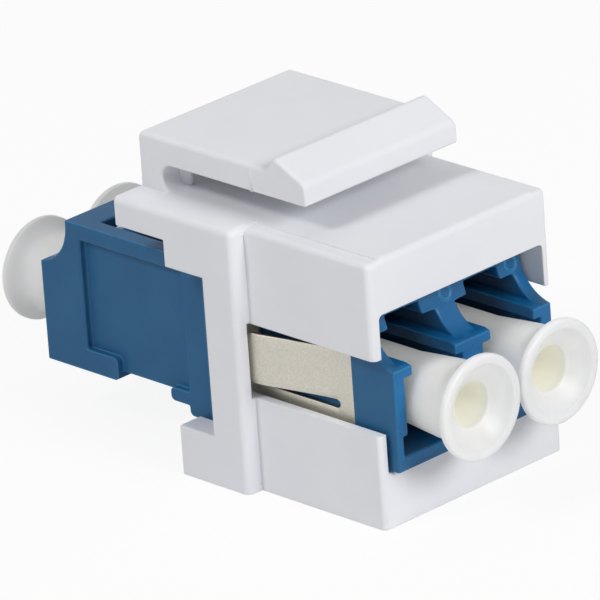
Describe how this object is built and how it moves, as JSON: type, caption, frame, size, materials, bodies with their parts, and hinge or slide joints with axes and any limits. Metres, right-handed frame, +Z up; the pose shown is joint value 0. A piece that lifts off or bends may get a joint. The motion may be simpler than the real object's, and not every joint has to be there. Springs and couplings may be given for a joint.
{
  "type": "snap-in duplex fibre adapter",
  "caption": "Snap-in panel module holding a duplex fibre adapter, with a sprung latch arm on top, a side spring clip, split alignment sleeves and pull-off dust caps.",
  "frame": {"origin": "middle of the module's underside plane, under the middle of the adapter's length and width", "axes": "+Y runs from the front ports to the rear ports along the fibre, +Z up towards the latch arm, +X to the right seen from the front"},
  "size_m": [0.0164, 0.0356, 0.02],
  "materials": {
    "housing_plastic": "satin",
    "adapter_plastic": "satin moulded",
    "clip_steel": "satin strip, dull plated",
    "sleeve_ceramic": "ground ceramic",
    "cap_plastic": "soft waxy plastic"
  },
  "bodies": {
    "housing": {"snap_in_housing": "housing_plastic", "adapter_front_half": "adapter_plastic", "adapter_rear_half": "adapter_plastic", "spring_clip": "clip_steel", "left_sleeve": "sleeve_ceramic", "right_sleeve": "sleeve_ceramic"},
    "latch": {"latch_arm": "housing_plastic"},
    "front_left_dust_cap": {"front_left_cap": "cap_plastic"},
    "front_right_dust_cap": {"front_right_cap": "cap_plastic"},
    "rear_left_dust_cap": {"rear_left_cap": "cap_plastic"},
    "rear_right_dust_cap": {"rear_right_cap": "cap_plastic"}
  },
  "joints": [
    {"name": "latch_flex", "type": "hinge", "parent": "housing", "child": "latch", "pos_m": [0, 0.00453, 0.01678], "axis": [1, 0, 0], "range_deg": [0, 7], "stiffness_Nm_per_rad": 0.4},
    {"name": "front_left_cap_pull", "type": "slide", "parent": "housing", "child": "front_left_dust_cap", "axis": [0, -1, 0], "range_m": [0, 0.0105]},
    {"name": "front_right_cap_pull", "type": "slide", "parent": "housing", "child": "front_right_dust_cap", "axis": [0, -1, 0], "range_m": [0, 0.0105]},
    {"name": "rear_left_cap_pull", "type": "slide", "parent": "housing", "child": "rear_left_dust_cap", "axis": [0, 1, 0], "range_m": [0, 0.0105]},
    {"name": "rear_right_cap_pull", "type": "slide", "parent": "housing", "child": "rear_right_dust_cap", "axis": [0, 1, 0], "range_m": [0, 0.0105]}
  ]
}
